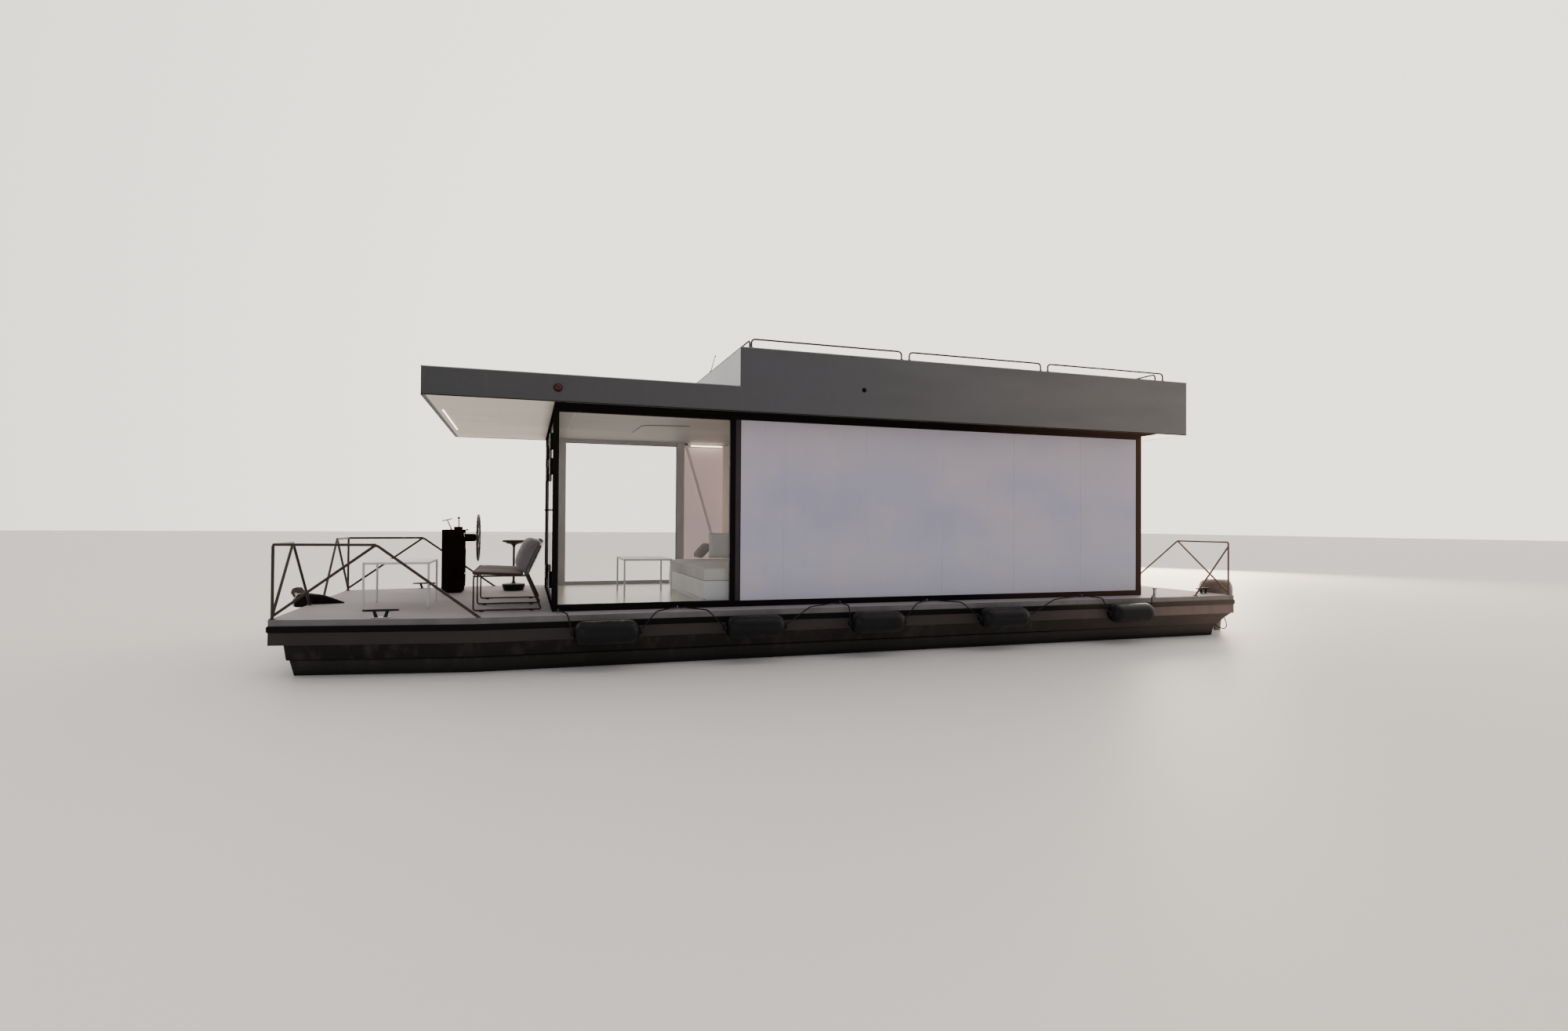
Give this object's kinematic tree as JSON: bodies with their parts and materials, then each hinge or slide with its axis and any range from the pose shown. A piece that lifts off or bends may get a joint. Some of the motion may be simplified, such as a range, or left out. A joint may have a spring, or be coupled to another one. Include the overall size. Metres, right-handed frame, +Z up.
{
  "type": "houseboat",
  "caption": "Flat-roofed houseboat on two floats, with a glazed cabin, folding glass front, canopied foredeck, roof terrace and outboard drives.",
  "frame": {"origin": "centre of the bounding box's base, at the level of the floats' flat bottoms", "axes": "+X along the boat towards the stern, +Y to starboard, +Z up; the bow points along -X"},
  "size_m": [12.3802, 4.642, 4.151],
  "materials": {
    "deck_board": "grained matte boards",
    "rub_rubber": "matte",
    "hull_paint": "satin, dull from weather",
    "rail_paint": "satin dark bronze",
    "frame_black": "satin black",
    "bright_steel": "brushed",
    "black_plastic": "semi-gloss",
    "fender_rubber": "satin",
    "grey_fabric": "woven",
    "linen_fabric": "woven",
    "white_paint": "satin white",
    "floor_board": "matte boards",
    "clear_glass": "clear",
    "ribbed_plastic": "translucent multiwall sheet",
    "roof_paint": "satin warm grey",
    "red_lens": "clear red",
    "green_lens": "clear green",
    "motor_plastic": "satin",
    "cast_alloy": "cast"
  },
  "bodies": {
    "hull": {"deck_platform": "deck_board", "rubbing_strake": "rub_rubber", "float_port": "hull_paint", "float_starboard": "hull_paint", "bow_rail_port": "rail_paint", "bow_rail_starboard": "rail_paint", "stern_rail_port": "rail_paint", "stern_rail_starboard": "rail_paint", "cleat_fore_port": "frame_black", "cleat_fore_starboard": "frame_black", "cleat_aft_port": "frame_black", "cleat_aft_starboard": "frame_black", "anchor_roller": "bright_steel", "anchor_cover": "black_plastic", "fenders_port": "fender_rubber", "fenders_starboard": "fender_rubber", "helm_console": "black_plastic", "helm_stool": "black_plastic", "bench_frame": "rail_paint", "bench_seat": "grey_fabric", "bench_cushion_port": "grey_fabric", "bench_cushion_starboard": "grey_fabric", "deck_table": "white_paint", "coffee_table": "white_paint", "daybed_base": "white_paint", "daybed_mattress": "linen_fabric", "daybed_cushion_dark": "grey_fabric", "daybed_cushion_light": "linen_fabric", "cabin_floor": "floor_board", "side_frame_port": "frame_black", "side_frame_starboard": "frame_black", "window_brace": "white_paint", "side_glass_port": "clear_glass", "side_glass_starboard": "clear_glass", "ribbed_panel_port": "ribbed_plastic", "ribbed_panel_starboard": "ribbed_plastic", "front_frame": "frame_black", "aft_wall": "roof_paint", "bulkhead": "white_paint", "roof_body": "roof_paint", "ceiling": "white_paint", "roof_rail_port": "rail_paint", "roof_rail_starboard": "rail_paint", "roof_antenna": "rail_paint", "roof_ladder": "bright_steel", "nav_light_port": "red_lens", "nav_light_starboard": "green_lens", "drive_bracket_port": "bright_steel", "drive_bracket_starboard": "bright_steel"},
    "helm_wheel": {"helm_wheel": "black_plastic"},
    "drive_port": {"drive_motor_port": "motor_plastic"},
    "drive_starboard": {"drive_motor_starboard": "motor_plastic"},
    "propeller_port": {"propeller_port": "cast_alloy"},
    "propeller_starboard": {"propeller_starboard": "cast_alloy"},
    "leaf_hung_port": {"front_leaf_hung_port": "clear_glass"},
    "leaf_led_port": {"front_leaf_led_port": "clear_glass"},
    "leaf_hung_starboard": {"front_leaf_hung_starboard": "clear_glass"},
    "leaf_led_starboard": {"front_leaf_led_starboard": "clear_glass"},
    "aft_door": {"aft_door": "frame_black"}
  },
  "joints": [
    {"name": "steer_port", "type": "hinge", "parent": "hull", "child": "drive_port", "pos_m": [5.88985, -1.515, 0.57], "axis": [0, 0, 1], "range_deg": [-30, 30]},
    {"name": "steer_starboard", "type": "hinge", "parent": "hull", "child": "drive_starboard", "pos_m": [5.88985, 1.515, 0.57], "axis": [0, 0, 1], "range_deg": [-30, 30]},
    {"name": "wheel_turn", "type": "hinge", "parent": "hull", "child": "helm_wheel", "pos_m": [-4.24915, 1.2, 1.735], "axis": [1, 0, 0], "range_deg": [-675, 675]},
    {"name": "propeller_port_spin", "type": "hinge", "parent": "drive_port", "child": "propeller_port", "pos_m": [6.15, -1.515, 0.24], "axis": [1, 0, 0], "continuous": true},
    {"name": "propeller_starboard_spin", "type": "hinge", "parent": "drive_starboard", "child": "propeller_starboard", "pos_m": [6.15, 1.515, 0.24], "axis": [1, 0, 0], "continuous": true},
    {"name": "front_port_swing", "type": "hinge", "parent": "hull", "child": "leaf_hung_port", "pos_m": [-3.31815, -1.599, 2], "axis": [0, 0, -1], "range_deg": [0, 84]},
    {"name": "front_port_fold", "type": "hinge", "parent": "leaf_hung_port", "child": "leaf_led_port", "pos_m": [-3.37065, -0.8085, 2], "axis": [0, 0, -1], "range_deg": [-168, 0]},
    {"name": "front_starboard_swing", "type": "hinge", "parent": "hull", "child": "leaf_hung_starboard", "pos_m": [-3.31815, 1.599, 2], "axis": [0, 0, 1], "range_deg": [0, 84]},
    {"name": "front_starboard_fold", "type": "hinge", "parent": "leaf_hung_starboard", "child": "leaf_led_starboard", "pos_m": [-3.37065, 0.8085, 2], "axis": [0, 0, 1], "range_deg": [-168, 0]},
    {"name": "aft_door_swing", "type": "hinge", "parent": "hull", "child": "aft_door", "pos_m": [4.44885, -0.385, 2], "axis": [0, 0, -1], "range_deg": [0, 100]}
  ],
  "couplings": [
    {"joint": "steer_starboard", "follows": "steer_port", "ratio": 1},
    {"joint": "wheel_turn", "follows": "steer_port", "ratio": 22.5},
    {"joint": "front_port_fold", "follows": "front_port_swing", "ratio": -2},
    {"joint": "front_starboard_fold", "follows": "front_starboard_swing", "ratio": -2}
  ]
}
